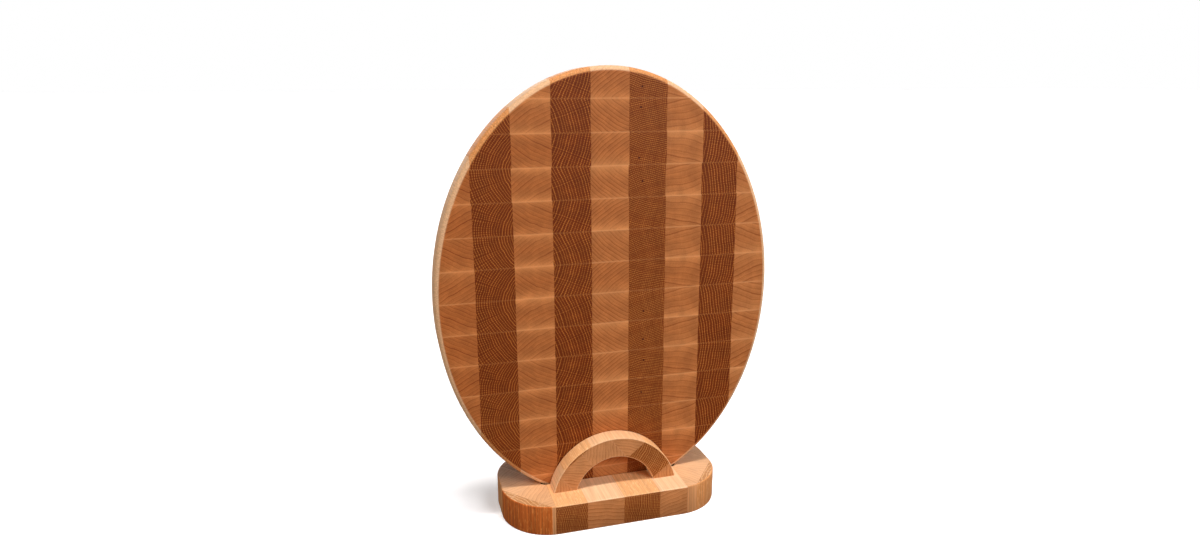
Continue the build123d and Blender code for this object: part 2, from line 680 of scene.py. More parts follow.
@dataclass
class Base:
    """The long base with round ends: a core of four strips between two slanted offcuts."""

    length: float = 183.0
    depth: float = 99.0
    height: float = 24.5
    corner_radius: float = 40.0
    corner_facets: int = 32
    edge_radius: float = 0.8
    edge_facets: int = 3
    core_joints: tuple[float, ...] = (-55.2, -29.5, 0.9, 31.3, 55.2)
    groove_half_length: float = 59.3
    groove_half_width: float = 13.3
    groove_floor: float = 7.2
    groove_corner_radius: float = 4.0
    groove_facets: int = 6
    ends: tuple[SlantedEnd, ...] = (
        SlantedEnd("left_end", -1, 9.7, 48.0, 7.8, (2.15, 1.5, 1.5)),
        SlantedEnd("right_end", 1, 7.5, 52.0, -1.1, (1.3, 1.55, 1.3)),
    )
    core_planks: tuple[Plank, ...] = (
        Plank((90.0, -20.0), 1.3, 1.2, 0.83, 1.0, PaleSide.NONE),
        Plank((-20.0, -120.0), 3.4, 1.2, 0.82, 0.92, PaleSide.NONE),
        Plank((-100.0, 12.0), 1.4, 1.4, 0.83, 1.0, PaleSide.NONE),
        Plank((35.0, -130.0), 3.2, 1.2, 0.8, 0.92, PaleSide.NONE),
    )
    seed_step: float = 31.0

    def blank(self) -> BMesh:
        """Make the whole base with its corners, eased edges and groove.

        Returns:
            The closed mesh.
        """
        blank = bmesh.new()
        size = Matrix.Diagonal((self.length * MM, self.depth * MM, self.height * MM, 1))
        lift = Matrix.Translation((0, 0, self.height / 2 * MM))
        bmesh.ops.create_cube(blank, size=1, matrix=lift @ size)
        upright = [edge for edge in blank.edges if is_upright(edge)]
        round_over(blank, upright, self.corner_radius, self.corner_facets)
        level = [face for face in blank.faces if abs(face.normal.z) > FLAT]
        round_over(blank, border(level), self.edge_radius, self.edge_facets)
        self.sink_groove(blank)
        shade(blank, UP)
        return blank

    def top_faces(self, blank: BMesh) -> list[BMFace]:
        """Faces that make up the top before the groove is sunk."""
        return [face for face in blank.faces if face.normal.z > FLAT]

    def sink_groove(self, blank: BMesh) -> None:
        """Sink the board's groove into the top.

        Args:
            blank: Closed mesh that is changed.
        """
        for axis, reach in ((RIGHT, self.groove_half_length), (BACK, self.groove_half_width)):
            for sign in (-1, 1):
                top = self.top_faces(blank)
                verts = dict.fromkeys(vert for face in top for vert in face.verts)
                bmesh.ops.bisect_plane(
                    blank,
                    geom=[*top, *border(top), *verts],
                    dist=SNAP,
                    plane_co=axis * (sign * reach * MM),
                    plane_no=axis,
                )
        top = self.top_faces(blank)
        middle = [face for face in top if face.calc_center_median().xy.length < MM]
        floor = extrude(blank, middle, UP * ((self.groove_floor - self.height) * MM))
        lid = [face for face in middle if face.is_valid]
        bmesh.ops.delete(blank, geom=lid, context="FACES_ONLY")
        corners = [edge for vert in floor for edge in vert.link_edges if is_upright(edge)]
        round_over(blank, corners, self.groove_corner_radius, self.groove_facets)

    def build_core(self, blank: BMesh, joinery: Joinery) -> None:
        """Saw the core's four strips, their fibres running front to back.

        Args:
            blank: The whole base.
            joinery: Maker of the stand's pieces.
        """
        grain = EndGrain(Vector(), RIGHT, UP)
        for number, plank in enumerate(self.core_planks, start=1):
            species = Species.of_column(number)
            left, right = self.core_joints[number - 1], self.core_joints[number]
            middle = ((left + right) / 2, self.height / 2)
            block = Block(middle, plank, left=left, right=right, seed=self.seed_step * number)
            node = f"core_strip_{number}_{species.value}"
            joinery.piece(node, species, blank, grain, [block])

    def end_grain(self, end: SlantedEnd) -> EndGrain:
        """Lay an end's panel, its strips counted from the core's rear corner.

        Args:
            end: The end.

        Returns:
            The panel's end grain, at the base's foot.
        """
        slant = math.radians(end.angle)
        along = Vector((-end.side * math.cos(slant), -math.sin(slant), 0))
        across = Vector((-end.side * math.sin(slant), math.cos(slant), 0))
        seam_end = Vector((end.side * (self.core_joints[-1] + end.inset), self.depth / 2, 0))
        origin = (seam_end - along * end.row_offset) * MM
        return EndGrain(origin, across, UP.cross(across))

    def build(self, joinery: Joinery) -> None:
        """Make the core and both ends.

        Args:
            joinery: Maker of the stand's pieces.
        """
        blank = self.blank()
        self.build_core(blank, joinery)
        for end in self.ends:
            inner = Vector((end.side * self.core_joints[-1] * MM, 0, 0))
            offcut = saw(blank, [Cut(inner, RIGHT * -end.side)])
            Panel(self.end_grain(end), end.name, end.planks()).build(offcut, joinery)
            offcut.free()
        blank.free()


@dataclass
class Arch:
    """One arch of the stand, cut from the panel on the slant.

    Attributes:
        name: Start of its nodes' names.
        front_side: 1 for the front arch, -1 for the rear one, which is turned half round.
        foot: Height of the base's top.
        inner_face: Distance from the board's middle to the arch.
        outer_drop: How far the outer circle's centre lies below the foot.
        inner_drop: The same for the inner circle.
        strip_angle: Slope of the strips in degrees.
        seam_offset: Distance of the foot's middle from the first seam.
        row_offset: Distance of the first row joint along the seam.
    """

    name: str
    front_side: int
    foot: float = 24.5
    inner_face: float = 13.3
    thickness: float = 15.5
    outer_radius: float = 53.6
    outer_drop: float = 12.9
    inner_radius: float = 33.9
    inner_drop: float = 9.6
    edge_radius: float = 0.7
    edge_facets: int = 3
    segments: int = 192
    strip_angle: float = 38.5
    seam_offset: float = 19.37
    row_offset: float = -3.25
    planks: dict[int, Plank] = field(
        default_factory=lambda: {
            -3: Plank((-50.0, 20.0), 2.2, 1.6, 0.75),
            -2: Plank((34.0, -46.0), 2.6, 1.8, 0.71, 1.05, PaleSide.NONE),
            -1: Plank((-60.0, -14.0), 1.8, 1.6, 0.75),
            0: Plank((40.0, 60.0), 2.4, 1.2, 0.75, 1.0, PaleSide.NONE),
        }
    )

    def blank(self) -> BMesh:
        """Make the whole arch, standing on its feet.

        Returns:
            The closed mesh.
        """
        blank = bmesh.new()
        turn = Matrix.Rotation(math.pi / 2, 4, "X")
        nearer = -(self.inner_face + self.thickness) if self.front_side > 0 else self.inner_face
        for radius, drop in (
            (self.outer_radius, self.outer_drop),
            (self.inner_radius, self.inner_drop),
        ):
            middle = Matrix.Translation((0, nearer * MM, (self.foot - drop) * MM))
            bmesh.ops.create_circle(
                blank, segments=self.segments, radius=radius * MM, matrix=middle @ turn
            )
        bmesh.ops.bridge_loops(blank, edges=blank.edges[:])
        extrude(blank, blank.faces, BACK * (self.thickness * MM))
        face_outwards(blank)
        rims = [
            edge
            for edge in blank.edges
            if len(edge.link_faces) == 2 and edge.calc_face_angle(0.0) > SHARP
        ]
        round_over(blank, rims, self.edge_radius, self.edge_facets)
        shade(blank, BACK)
        standing = saw(blank, [Cut(UP * (self.foot * MM), -UP)])
        blank.free()
        return standing

    def panel(self) -> EndGrain:
        """Lay the arch's panel.

        Returns:
            The panel's end grain, on the arch's outer face.
        """
        slant = math.radians(self.strip_angle)
        right = RIGHT * self.front_side
        across = right * math.sin(slant) - UP * math.cos(slant)
        along = right * math.cos(slant) + UP * math.sin(slant)
        corner = UP * self.foot + across * self.seam_offset + along * self.row_offset
        return EndGrain(corner * MM, across, (BACK * -self.front_side).cross(across))

    def build(self, joinery: Joinery) -> None:
        """Make the arch's four strips.

        Args:
            joinery: Maker of the stand's pieces.
        """
        blank = self.blank()
        Panel(self.panel(), self.name, self.planks).build(blank, joinery)
        blank.free()


@dataclass
class Dowels:
    """Four fluted dowels between the arches' feet and the base.

    Attributes:
        across: Distance of each from the middle, sideways.
        beside: Distance of each from the board's middle, to the front or the rear.
        tip: Bevel at both ends.
    """

    diameter: float = 6.0
    length: float = 26.0
    bottom: float = 10.5
    across: float = 40.1
    beside: float = 21.05
    flutes: int = 12
    flute_depth: float = 0.25
    tip: float = 0.6
    plank: Plank = Plank((18.0, 30.0), 1.8)
    seed: float = 77.0

    def turn(self, mesh: BMesh, place: Vector) -> None:
        """Turn one dowel.

        Args:
            mesh: Mesh that it is added to.
            place: Middle of its lower end, in millimetres.
        """
        lift = Matrix.Translation(place * MM)
        radius = self.diameter / 2 * MM
        ring = bmesh.ops.create_circle(
            mesh, cap_ends=True, segments=2 * self.flutes, radius=radius, matrix=lift
        )["verts"]
        for vert in ring[::2]:
            vert.co -= (vert.co - lift.translation).normalized() * self.flute_depth * MM
        foot = dict.fromkeys(face for vert in ring for face in vert.link_faces)
        extrude(mesh, foot, UP * (self.length * MM))

    def build(self, joinery: Joinery) -> None:
        """Turn the four dowels as one piece.

        Args:
            joinery: Maker of the stand's pieces.
        """
        mesh = Block.empty_mesh()
        places = [
            Vector((x, y, self.bottom))
            for x in (-self.across, self.across)
            for y in (-self.beside, self.beside)
        ]
        for place in places:
            self.turn(mesh, place)
        face_outwards(mesh)
        round_over(mesh, border(many_sided(mesh)), self.tip, 1)
        block = Block((0.0, 0.0), self.plank, seed=self.seed)
        block.mark(mesh, mesh.verts, EndGrain(Vector(), RIGHT, BACK))
        joinery.hand_over("arch_dowels", Species.BEECH, mesh, len(places))


# Finishes


class Wiring:
    """Adds nodes to a node tree and joins them."""

    def __init__(self, tree: bpy.types.NodeTree) -> None:
        """Keep the tree that is wired."""
        self.tree = tree

    def feed(self, target: Socket, value: Value) -> None:
        """Link a socket, or set its value.

        Args:
            target: Input that is fed.
            value: Output to link, or the value to set.
        """
        if isinstance(value, bpy.types.NodeSocket):
            self.tree.links.new(value, target)
        else:
            target.default_value = value

    def node(self, kind: str, *values: Value, **settings: object) -> bpy.types.Node:
        """Add a node.

        Args:
            kind: Type of the node.
            *values: What its first inputs get, in order.
            **settings: Its options.

        Returns:
            The node.
        """
        node = self.tree.nodes.new(kind)
        for name, value in settings.items():
            setattr(node, name, value)
        for target, value in zip(node.inputs, values):
            self.feed(target, value)
        return node

    def math(self, operation: str, *values: Value, clamp: bool = False) -> Socket:
        """One sum on numbers."""
        settings = {"operation": operation, "use_clamp": clamp}
        return self.node("ShaderNodeMath", *values, **settings).outputs[0]

    def times(self, first: Value, second: Value) -> Socket:
        """One number times another."""
        return self.math("MULTIPLY", first, second)

    def plus(self, first: Value, second: Value) -> Socket:
        """One number plus another."""
        return self.math("ADD", first, second)

    def minus(self, first: Value, second: Value) -> Socket:
        """One number less another."""
        return self.math("SUBTRACT", first, second)

    def split(self, vector: Value) -> tuple[Socket, Socket, Socket]:
        """X, Y and Z of a vector."""
        return tuple(self.node("ShaderNodeSeparateXYZ", vector).outputs)

    def join(self, x: Value, y: Value, z: Value = 0.0) -> Socket:
        """A vector from its numbers."""
        return self.node("ShaderNodeCombineXYZ", x, y, z).outputs[0]

    def distance(self, x: Value, y: Value) -> Socket:
        """How far a place on the end grain is from the middle."""
        length = self.node("ShaderNodeVectorMath", self.join(x, y), operation="LENGTH")
        return length.outputs["Value"]

    def step(
        self, value: Value, low: float, high: float, start: float = 0.0, end: float = 1.0
    ) -> Socket:
        """A soft step from start to end as a value goes from low to high."""
        settings = {"interpolation_type": "SMOOTHSTEP", "clamp": True}
        return self.node("ShaderNodeMapRange", value, low, high, start, end, **settings).outputs[0]

    def noise(
        self,
        where: Value,
        scale: float,
        seed: Value = 0.0,
        detail: float = 1.0,
        roughness: float = 0.5,
    ) -> Socket:
        """Soft noise from 0 to 1, its scale in waves per millimetre."""
        values = (where, seed, scale, detail, roughness)
        return self.node("ShaderNodeTexNoise", *values, noise_dimensions="4D").outputs["Fac"]

    def swing(self, where: Value, scale: float, seed: Value, detail: float = 1.0) -> Socket:
        """Soft noise from -0.5 to 0.5."""
        return self.minus(self.noise(where, scale, seed, detail), 0.5)

    def chance(self, number: Value, seed: Value) -> Socket:
        """A random share for each whole number."""
        place = self.join(number, seed)
        return self.node("ShaderNodeTexWhiteNoise", place, noise_dimensions="2D").outputs["Value"]

    def mix(self, factor: Value, first: Value, second: Value, blend: str = "MIX") -> Socket:
        """Mix two colours.

        Args:
            factor: Share of the second.
            first: A colour.
            second: A colour.
            blend: How they are mixed.

        Returns:
            The mixed colour.
        """
        node = self.node("ShaderNodeMix", data_type="RGBA", blend_type=blend, clamp_factor=True)
        sockets = {socket.identifier: socket for socket in node.inputs}
        self.feed(sockets["Factor_Float"], factor)
        self.feed(sockets["A_Color"], first)
        self.feed(sockets["B_Color"], second)
        return next(socket for socket in node.outputs if socket.identifier == "Result_Color")

    def dim(self, colour: Value, share: Value) -> Socket:
        """Multiply a colour by a number."""
        return self.mix(1.0, colour, self.join(share, share, share), "MULTIPLY")

    def deepen(self, colour: Socket, depth: Socket) -> Socket:
        """Raise a colour to a power: above 1 it turns darker and richer, below 1 paler."""
        channels = self.node("ShaderNodeSeparateColor", colour).outputs
        return self.join(*(self.math("POWER", channel, depth) for channel in channels))

    def layer(self, name: str) -> Socket:
        """A vector that the joinery wrote on the mesh."""
        settings = {"attribute_type": "GEOMETRY", "attribute_name": name}
        return self.node("ShaderNodeAttribute", **settings).outputs["Vector"]

    def group(self, tree: bpy.types.NodeTree, **values: Value) -> dict[str, Socket]:
        """Place a node group.

        Args:
            tree: The group.
            **values: What its inputs get; an underscore in a name stands for a space.

        Returns:
            Its outputs.
        """
        node = self.node("ShaderNodeGroup", node_tree=tree)
        for name, value in values.items():
            self.feed(node.inputs[name.replace("_", " ")], value)
        return {socket.name: socket for socket in node.outputs}


class Group(Wiring):
    """A shader node group in the making, with its inputs given and its outputs to feed."""

    def __init__(self, name: str, inputs: dict[str, Value], outputs: Iterable[str]) -> None:
        """Start the group.

        Args:
            name: Name of the group.
            inputs: Default of each input, a tuple for a vector.
            outputs: Names of the outputs, which are numbers.
        """
        super().__init__(bpy.data.node_groups.new(name, "ShaderNodeTree"))
        for title, value in inputs.items():
            kind = "NodeSocketVector" if isinstance(value, tuple) else "NodeSocketFloat"
            socket = self.tree.interface.new_socket(title, in_out="INPUT", socket_type=kind)
            socket.default_value = value
        for title in outputs:
            self.tree.interface.new_socket(title, in_out="OUTPUT", socket_type="NodeSocketFloat")
        self.given = self.node("NodeGroupInput").outputs
        self.out = self.node("NodeGroupOutput").inputs


@dataclass
class WoodGroups:
    """The node groups that both woods share.

    A scale is waves per millimetre, a stretch is the share of the length along the fibres or
    the radius that counts, and a pair named step is where a soft step starts and ends.

    Attributes:
        ring_bends: Scale and reach in millimetres of the waves that bend the rings.
        uneven_years: How far the growth of a year strays from the mean.
        sway: How far a ray strays from straight, in spacings.
        ray_power: Raises the rays' chances, so that few are strong.
        pale_reach: Millimetres over which the paler outer wood fades.
        waver_floor: Least share of that reach.
        plain_share: How much of the joint's line a plank without pale wood loses.
    """

    ring_stretch: float = 0.08
    ring_bends: tuple[tuple[float, float], ...] = ((0.045, 5.0), (0.22, 0.9))
    ring_detail: float = 2.0
    uneven_scale: float = 0.31
    uneven_years: float = 1.1
    sway_radius_stretch: float = 0.07
    sway_fibre_stretch: float = 0.06
    sway_scale: float = 0.5
    sway: float = 1.6
    ray_power: float = 1.5
    fading_stretch: float = 0.12
    fading_step: tuple[float, float] = (0.3, 0.6)
    weave_step: tuple[float, float] = (0.2, 0.45)
    pore_stretch: float = 0.035
    pore_step: tuple[float, float] = (0.52, 0.68)
    streak_stretch: float = 0.02
    streak_scale: float = 0.9
    streak_detail: float = 3.0
    streak_roughness: float = 0.6
    dash_stretch: float = 0.16
    dash_scale: float = 1.3
    dash_step: tuple[float, float] = (0.54, 0.66)
    pale_reach: float = 4.2
    waver_floor: float = 0.5
    plain_share: float = 0.8
    line_step: tuple[float, float] = (0.1, 0.9)
    seam_step: tuple[float, float] = (0.05, 0.35)
    facing_step: tuple[float, float] = (0.93, 0.9995)

    def __post_init__(self) -> None:
        """Build every group once."""
        self.rings = self.build_rings()
        self.rays = self.build_rays()
        self.pores = self.build_pores()
        self.joints = self.build_joints()
        self.side_grain = self.build_side_grain()

    def build_rings(self) -> bpy.types.NodeTree:
        """Draw yearly rings round the pith.

        Returns:
            The group: the place within a ring, and a number of the ring's own.
        """
        inputs = {"Grain": (0, 0, 0), "Growth": (2, 1, 0)}
        w = Group("growth_rings", inputs, ("Phase", "Year"))
        x, y, along = w.split(w.given["Grain"])
        spacing, wobble, seed = w.split(w.given["Growth"])
        where = w.join(x, y, w.times(along, self.ring_stretch))
        broad, fine = (
            w.times(w.swing(where, scale, seed, self.ring_detail), reach)
            for scale, reach in self.ring_bends
        )
        radius = w.plus(w.distance(x, y), w.times(w.plus(broad, fine), wobble))
        years = w.math("DIVIDE", radius, spacing)
        uneven = w.swing(w.join(years, 0.0), self.uneven_scale, seed)
        years = w.plus(years, w.times(uneven, self.uneven_years))
        whole = w.math("FLOOR", years)
        w.feed(w.out["Phase"], w.minus(years, whole))
        w.feed(w.out["Year"], w.chance(whole, seed))
        return w.tree

    def build_rays(self) -> bpy.types.NodeTree:
        """Draw thin rays that run out from the pith across the rings.

        Returns:
            The group: each ray's strength, and how near a place is to any ray.
        """
        inputs = {
            "Grain": (0, 0, 0), "Growth": (2, 1, 0), "Block": (1, 50, 0),
            "Spacing": 1.5, "Width": 0.2,
        }
        w = Group("medullary_rays", inputs, ("Ray", "Weave"))
        _, _, seed = w.split(w.given["Growth"])
        _, distance, facing = w.split(w.given["Block"])
        turn = w.node("ShaderNodeVectorRotate", rotation_type="Z_AXIS")
        w.feed(turn.inputs["Vector"], w.given["Grain"])
        w.feed(turn.inputs["Angle"], w.times(facing, -1.0))
        x, y, along = w.split(turn.outputs["Vector"])
        radius = w.distance(x, y)
        round_pith = w.times(w.math("ARCTAN2", y, x), distance)
        count = w.math("DIVIDE", round_pith, w.given["Spacing"])
        outwards = w.times(radius, self.sway_radius_stretch)
        place = w.join(count, outwards, w.times(along, self.sway_fibre_stretch))
        count = w.plus(count, w.times(w.swing(place, self.sway_scale, seed), self.sway))
        number = w.math("FLOOR", count)
        off_middle = w.math("ABSOLUTE", w.minus(w.minus(count, number), 0.5))
        line = w.math("SUBTRACT", 1.0, w.math("DIVIDE", off_middle, w.given["Width"]), clamp=True)
        strength = w.math("POWER", w.chance(number, seed), self.ray_power)
        outwards = w.times(radius, self.fading_stretch)
        place = w.join(number, outwards, w.times(along, self.fading_stretch))
        fading = w.step(w.noise(place, 1.0, seed), *self.fading_step)
        w.feed(w.out["Ray"], w.times(line, w.times(strength, fading)))
        w.feed(w.out["Weave"], w.step(off_middle, *self.weave_step, 1.0, 0.0))
        return w.tree

    def build_pores(self) -> bpy.types.NodeTree:
        """Draw vessels: dots on end grain that become streaks along the fibres.

        Returns:
            The group: fine pores, broad streaks and short dashes.
        """
        inputs = {"Grain": (0, 0, 0), "Growth": (2, 1, 0), "Size": 0.35}
        w = Group("pores", inputs, ("Pore", "Streak", "Dash"))
        _, _, seed = w.split(w.given["Growth"])
        x, y, along = w.split(w.given["Grain"])
        pore, streak, dash = (
            w.join(x, y, w.times(along, stretch))
            for stretch in (self.pore_stretch, self.streak_stretch, self.dash_stretch)
        )
        shrink = w.node("ShaderNodeVectorMath", operation="SCALE")
        w.feed(shrink.inputs["Vector"], pore)
        w.feed(shrink.inputs["Scale"], w.math("DIVIDE", 1.0, w.given["Size"]))
        dots = w.noise(shrink.outputs["Vector"], 1.0, seed)
        w.feed(w.out["Pore"], w.step(dots, *self.pore_step))
        fine = (self.streak_detail, self.streak_roughness)
        w.feed(w.out["Streak"], w.noise(streak, self.streak_scale, seed, *fine))
        w.feed(w.out["Dash"], w.step(w.noise(dash, self.dash_scale, seed), *self.dash_step))
        return w.tree

    def build_joints(self) -> bpy.types.NodeTree:
        """Draw the glue joints.

        Returns:
            The group: the pale outer wood along a row joint, the thin line at the joint, and
            the seam between two strips.
        """
        inputs = {
            "Row Joints": (FAR, FAR, 0), "Seams": (FAR, FAR, 0),
            "Reach": self.pale_reach, "Waver": 0.5,
        }
        w = Group("glue_joints", inputs, ("Pale", "Line", "Seam"))
        pale_side, other_side, share = w.split(w.given["Row Joints"])
        left, right, _ = w.split(w.given["Seams"])
        reach = w.times(w.given["Reach"], w.plus(w.given["Waver"], self.waver_floor))
        near, far = (
            w.math("EXPONENT", w.times(-1.0, w.math("DIVIDE", away, reach)))
            for away in (pale_side, other_side)
        )
        near = w.times(near, w.math("ADD", share, 1.0, clamp=True))
        w.feed(w.out["Pale"], w.math("MAXIMUM", near, w.times(far, share)))
        nearest = w.math("MINIMUM", pale_side, other_side)
        plain = w.math("MINIMUM", w.plus(w.times(share, self.plain_share), 1.0), 1.0)
        w.feed(w.out["Line"], w.times(w.step(nearest, *self.line_step, 1.0, 0.0), plain))
        beside = w.math("MINIMUM", left, right)
        w.feed(w.out["Seam"], w.step(beside, *self.seam_step, 1.0, 0.0))
        return w.tree

    def build_side_grain(self) -> bpy.types.NodeTree:
        """Tell side grain from end grain.

        Returns:
            The group: 0 on end grain, 1 where a surface shows the side of the fibres.
        """
        w = Group("side_grain", {"Fibre": (0, 1, 0)}, ("Side",))
        normal = w.node("ShaderNodeTexCoord").outputs["Normal"]
        along = w.node("ShaderNodeVectorMath", normal, w.given["Fibre"], operation="DOT_PRODUCT")
        facing = w.math("ABSOLUTE", along.outputs["Value"])
        w.feed(w.out["Side"], w.step(facing, *self.facing_step, 1.0, 0.0))
        return w.tree


def srgb(red: int, green: int, blue: int) -> Colour:
    """Turn a screen colour into the linear colour that a socket takes.

    Args:
        red: From 0 to 255.
        green: From 0 to 255.
        blue: From 0 to 255.

    Returns:
        The linear colour, opaque.
    """
    channels = []
    for value in (red, green, blue):
        share = value / 255
        channels.append(share / 12.92 if share <= 0.04045 else ((share + 0.055) / 1.055) ** 2.4)
    return (*channels, 1.0)


@dataclass(frozen=True)
class WoodFinish:
    """An oiled wood: its colours on end grain and side grain, and how its figure shows.

    Attributes:
        ring_low: Share of a year at which its line is strongest.
        ring_high: Share of a year at which the line has faded.
        pale_share: How far the paler outer wood shows.
        line_share: How far the thin line at a row joint shows.
        pores_in_rings: Whether a year shows as a row of pores, as in oak.
        late_power: Shape of the darkening towards a year's end in the other wood.
        late_share: How dark it gets.
        year_low: Strength of the weakest year's line.
        weave_low: Strength of a row of pores between two rays.
        noise_step: Part of the noise's range that tones are spread over.
        seam_tint: What the colour is multiplied by at a seam.
        relief: Depth of the pores' bump in millimetres.
    """

    name: str
    end_base: Colour
    end_ring: Colour
    end_ray: Colour
    end_pale: Colour
    side_base: Colour
    side_ring: Colour
    side_fleck: Colour
    joint_line: Colour
    ring_low: float
    ring_high: float
    ray_share: float
    ray_spacing: float
    ray_width: float
    pale_share: float
    line_share: float
    pore_size: float
    pore_share: float
    cloud_share: float
    dash_share: float
    pores_in_rings: bool
    relief: float
    year_low: float = 0.55
    weave_low: float = 0.2
    late_power: float = 1.5
    late_share: float = 0.45
    noise_step: tuple[float, float] = (0.3, 0.7)
    cloud_scale: float = 0.09
    cloud_detail: float = 3.0
    side_ring_share: float = 0.5
    side_ray_share: float = 0.4
    side_tones: tuple[float, float] = (0.82, 1.1)
    seam_share: float = 0.15
    seam_tint: Colour = (0.45, 0.38, 0.34, 1.0)
    knot_share: float = 0.92
    knot_colour: Colour = srgb(58, 20, 10)
    knot_step: tuple[float, float] = (0.5, 1.05)
    roughness: tuple[float, float] = (0.45, 0.57)
    gloss: float = 0.14
    bump_strength: float = 0.35
    streak_height: float = 0.5
    pore_height: float = 0.6

    def material(self, groups: WoodGroups) -> bpy.types.Material:
        """Build the finish.

        Args:
            groups: Node groups that both woods share.

        Returns:
            The material.
        """
        material = bpy.data.materials.new(self.name)
        material.use_nodes = True
        material.node_tree.nodes.clear()
        w = Wiring(material.node_tree)
        figure = {"Grain": w.layer("grain"), "Growth": w.layer("growth")}
        facts, seams = w.layer("block"), w.layer("seams")
        rings = w.group(groups.rings, **figure)
        spread = {"Block": facts, "Spacing": self.ray_spacing, "Width": self.ray_width}
        rays = w.group(groups.rays, **figure, **spread)
        pores = w.group(groups.pores, **figure, Size=self.pore_size)
        near = {"Row_Joints": w.layer("row_joints"), "Seams": seams}
        joints = w.group(groups.joints, **near, Waver=pores["Streak"])
        side = w.group(groups.side_grain, Fibre=w.layer("fibre"))["Side"]
        knot_x, knot_y, paleness = w.split(w.layer("knot_and_pale"))

        ring = self.ring_line(w, rings, rays["Weave"])
        ray = w.times(rays["Ray"], self.ray_share)
        pale = w.times(joints["Pale"], w.times(paleness, self.pale_share))
        end = w.mix(ring, self.end_base, self.end_ring)
        end = w.mix(pale, w.mix(ray, end, self.end_ray), self.end_pale)
        clouds = w.noise(figure["Grain"], self.cloud_scale, detail=self.cloud_detail)
        lightest, darkest = 1.0 + self.cloud_share, 1.0 - self.cloud_share
        tone = w.step(clouds, *self.noise_step, darkest, lightest)
        pored = w.step(pores["Pore"], 0.0, 1.0, 1.0, 1.0 - self.pore_share)
        end = w.dim(end, w.times(pored, tone))
        end = w.mix(w.times(joints["Line"], self.line_share), end, self.joint_line)
        along = self.side_colour(w, ring, ray, pores)

        _, _, side_depth = w.split(seams)
        colour = w.mix(side, w.deepen(end, w.split(facts)[0]), w.deepen(along, side_depth))
        dark = w.mix(1.0, colour, self.seam_tint, "MULTIPLY")
        colour = w.mix(w.times(joints["Seam"], self.seam_share), colour, dark)
        knot = w.step(w.distance(knot_x, knot_y), *self.knot_step, 1.0, 0.0)
        colour = w.mix(w.times(knot, self.knot_share), colour, self.knot_colour)
        self.varnish(w, colour, pores)
        return material

    def ring_line(self, w: Wiring, rings: dict[str, Socket], weave: Socket) -> Socket:
        """Draw a year's line: a broken row of pores in oak, a darkening line in beech.

        Args:
            w: Wiring of the material.
            rings: Outputs of the rings' group.
            weave: How near a place is to any ray.

        Returns:
            How strongly the line shows.
        """
        phase = rings["Phase"]
        rising = w.step(phase, 0.0, self.ring_low)
        falling = w.step(phase, self.ring_low, self.ring_high, 1.0, 0.0)
        line = w.times(w.times(rising, falling), w.step(rings["Year"], 0.0, 1.0, self.year_low))
        if self.pores_in_rings:
            return w.times(line, w.step(weave, 0.0, 1.0, self.weave_low))
        late = w.times(w.math("POWER", phase, self.late_power), self.late_share)
        return w.math("MAXIMUM", line, late)

    def side_colour(
        self, w: Wiring, ring: Socket, ray: Socket, pores: dict[str, Socket]
    ) -> Socket:
        """Colour the side grain.

        Args:
            w: Wiring of the material.
            ring: How strongly a year's line shows.
            ray: How strongly a ray shows.
            pores: Outputs of the pores' group.

        Returns:
            The colour.
        """
        colour = w.mix(w.times(ring, self.side_ring_share), self.side_base, self.side_ring)
        flecks = w.times(ray, self.side_ray_share), w.times(pores["Dash"], self.dash_share)
        colour = w.mix(w.math("MAXIMUM", *flecks), colour, self.side_fleck)
        return w.dim(colour, w.step(pores["Streak"], *self.noise_step, *self.side_tones))

    def varnish(self, w: Wiring, colour: Socket, pores: dict[str, Socket]) -> None:
        """Join the colour, the sheen and the relief in the material's shader.

        Args:
            w: Wiring of the material.
            colour: The wood's colour.
            pores: Outputs of the pores' group.
        """
        streak = pores["Streak"]
        shader = w.node("ShaderNodeBsdfPrincipled")
        shader.inputs["Specular IOR Level"].default_value = self.gloss
        w.feed(shader.inputs["Base Color"], colour)
        w.feed(shader.inputs["Roughness"], w.step(streak, *self.noise_step, *self.roughness))
        bump = w.node("ShaderNodeBump")
        bump.inputs["Strength"].default_value = self.bump_strength
        bump.inputs["Distance"].default_value = self.relief * MM
        raised = w.times(streak, self.streak_height)
        height = w.minus(raised, w.times(pores["Pore"], self.pore_height))
        w.feed(bump.inputs["Height"], height)
        w.feed(shader.inputs["Normal"], bump.outputs["Normal"])
        output = w.node("ShaderNodeOutputMaterial")
        w.feed(output.inputs["Surface"], shader.outputs["BSDF"])


BEECH = WoodFinish(
    name="oiled_beech",
    end_base=srgb(182, 109, 57),
    end_ring=srgb(128, 62, 24),
    end_ray=srgb(196, 124, 70),
    end_pale=srgb(216, 142, 84),
    side_base=srgb(228, 184, 142),
    side_ring=srgb(208, 154, 110),
    side_fleck=srgb(196, 138, 96),
    joint_line=srgb(226, 158, 102),
    ring_low=0.16,
    ring_high=0.5,
    ray_share=0.3,
    ray_spacing=0.9,
    ray_width=0.3,
    pale_share=1.0,
    line_share=0.35,
    pore_size=0.3,
    pore_share=0.2,
    cloud_share=0.14,
    dash_share=0.1,
    pores_in_rings=False,
    relief=0.05,
)

OAK = WoodFinish(
    name="oiled_oak",
    end_base=srgb(106, 43, 8),
    end_ring=srgb(206, 126, 58),
    end_ray=srgb(188, 110, 50),
    end_pale=srgb(146, 78, 32),
    side_base=srgb(222, 166, 114),
    side_ring=srgb(190, 128, 78),
    side_fleck=srgb(246, 206, 158),
    joint_line=srgb(190, 124, 72),
    ring_low=0.14,
    ring_high=0.46,
    ray_share=0.36,
    ray_spacing=1.4,
    ray_width=0.28,
    pale_share=0.15,
    line_share=0.2,
    pore_size=0.36,
    pore_share=0.3,
    cloud_share=0.1,
    dash_share=0.4,
    pores_in_rings=True,
    relief=0.08,
)


# Studio


